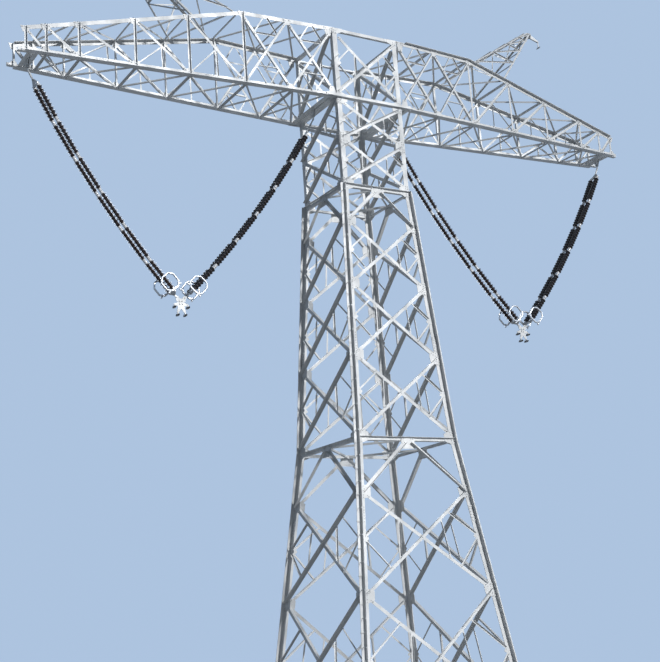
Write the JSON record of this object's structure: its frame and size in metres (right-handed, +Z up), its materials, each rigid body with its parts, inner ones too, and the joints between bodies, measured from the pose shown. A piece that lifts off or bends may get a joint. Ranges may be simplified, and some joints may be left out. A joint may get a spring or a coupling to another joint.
{
  "type": "lattice transmission pylon",
  "caption": "Four-legged steel lattice pylon with one long box-truss crossarm, two outward-leaning ground-wire peaks and two swinging V insulator sets.",
  "frame": {"origin": "on the ground, in the middle between the four feet", "axes": "+X along the crossarm, +Y along the line, +Z up"},
  "size_m": [24.84, 7.3532, 30.33],
  "materials": {
    "galvanised_steel": "hot-dip galvanised, dull, light grey",
    "glaze": "dark glazed porcelain",
    "forged_fitting": "galvanised forgings and plates",
    "cast_clamp": "cast aluminium alloy",
    "aluminium": "smooth aluminium tube"
  },
  "bodies": {
    "tower": {"front_left_leg": "galvanised_steel", "front_right_leg": "galvanised_steel", "rear_right_leg": "galvanised_steel", "rear_left_leg": "galvanised_steel", "centre_bracing": "galvanised_steel", "upper_bracing": "galvanised_steel", "front_middle_bracing": "galvanised_steel", "front_lower_bracing": "galvanised_steel", "right_middle_bracing": "galvanised_steel", "right_lower_bracing": "galvanised_steel", "rear_middle_bracing": "galvanised_steel", "rear_lower_bracing": "galvanised_steel", "left_middle_bracing": "galvanised_steel", "left_lower_bracing": "galvanised_steel", "base_bracing": "galvanised_steel", "leg_shoes": "galvanised_steel", "waist_diaphragm": "galvanised_steel", "knee_diaphragm": "galvanised_steel", "base_diaphragm": "galvanised_steel", "left_front_truss": "galvanised_steel", "left_rear_truss": "galvanised_steel", "left_bottom_bracing": "galvanised_steel", "left_top_bracing": "galvanised_steel", "left_hanger_beams": "galvanised_steel", "left_peak": "galvanised_steel", "left_peak_bracket": "galvanised_steel", "right_front_truss": "galvanised_steel", "right_rear_truss": "galvanised_steel", "right_bottom_bracing": "galvanised_steel", "right_top_bracing": "galvanised_steel", "right_hanger_beams": "galvanised_steel", "right_peak": "galvanised_steel", "right_peak_bracket": "galvanised_steel"},
    "left_v_set": {"left_insulators": "glaze", "left_string_fittings": "forged_fitting", "left_grading_rings": "aluminium", "left_yoke": "forged_fitting", "left_conductor_clamps": "cast_clamp"},
    "left_wire_clamp": {"left_ground_wire_clamp": "cast_clamp"},
    "right_v_set": {"right_insulators": "glaze", "right_string_fittings": "forged_fitting", "right_grading_rings": "aluminium", "right_yoke": "forged_fitting", "right_conductor_clamps": "cast_clamp"},
    "right_wire_clamp": {"right_ground_wire_clamp": "cast_clamp"}
  },
  "joints": [
    {"name": "left_v_swing", "type": "hinge", "parent": "tower", "child": "left_v_set", "pos_m": [-7, 0, 25], "axis": [1, 0, 0], "range_deg": [-35, 35]},
    {"name": "left_wire_clamp_swing", "type": "hinge", "parent": "tower", "child": "left_wire_clamp", "pos_m": [-9.48, 0, 30.078], "axis": [0, 1, 0], "range_deg": [-45, 45]},
    {"name": "right_v_swing", "type": "hinge", "parent": "tower", "child": "right_v_set", "pos_m": [7, 0, 25], "axis": [1, 0, 0], "range_deg": [-35, 35]},
    {"name": "right_wire_clamp_swing", "type": "hinge", "parent": "tower", "child": "right_wire_clamp", "pos_m": [9.48, 0, 30.078], "axis": [0, 1, 0], "range_deg": [-45, 45]}
  ]
}
